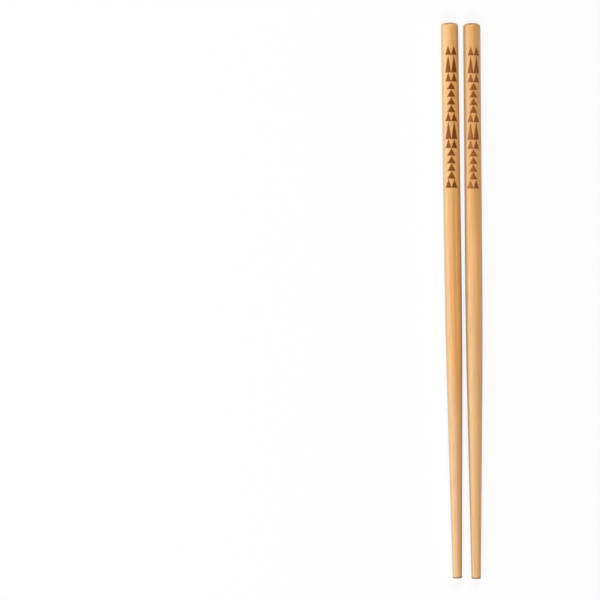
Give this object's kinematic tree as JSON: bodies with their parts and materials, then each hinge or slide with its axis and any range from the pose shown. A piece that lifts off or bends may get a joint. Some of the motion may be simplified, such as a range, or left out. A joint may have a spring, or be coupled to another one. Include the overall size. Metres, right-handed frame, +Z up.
{
  "type": "pair of bamboo chopsticks",
  "caption": "Pair of round bamboo chopsticks lying side by side, with domed handle ends, tapered blunt tips and rows of burnt triangles on the grips.",
  "frame": {"origin": "middle of the pair's footprint, on the surface that the sticks lie on", "axes": "+Z up, +Y towards the handle ends, +X across the pair from the left stick to the right one"},
  "size_m": [0.018, 0.2402, 0.0075],
  "materials": {
    "bamboo_straw": "smooth sanded bamboo with a thin oiled sheen, straw yellow, marks burnt dark brown",
    "bamboo_honey": "smooth sanded bamboo with a thin oiled sheen, warmer honey tone, marks burnt brown"
  },
  "bodies": {
    "root": {"left_chopstick": "bamboo_straw", "right_chopstick": "bamboo_honey"}
  },
  "joints": []
}
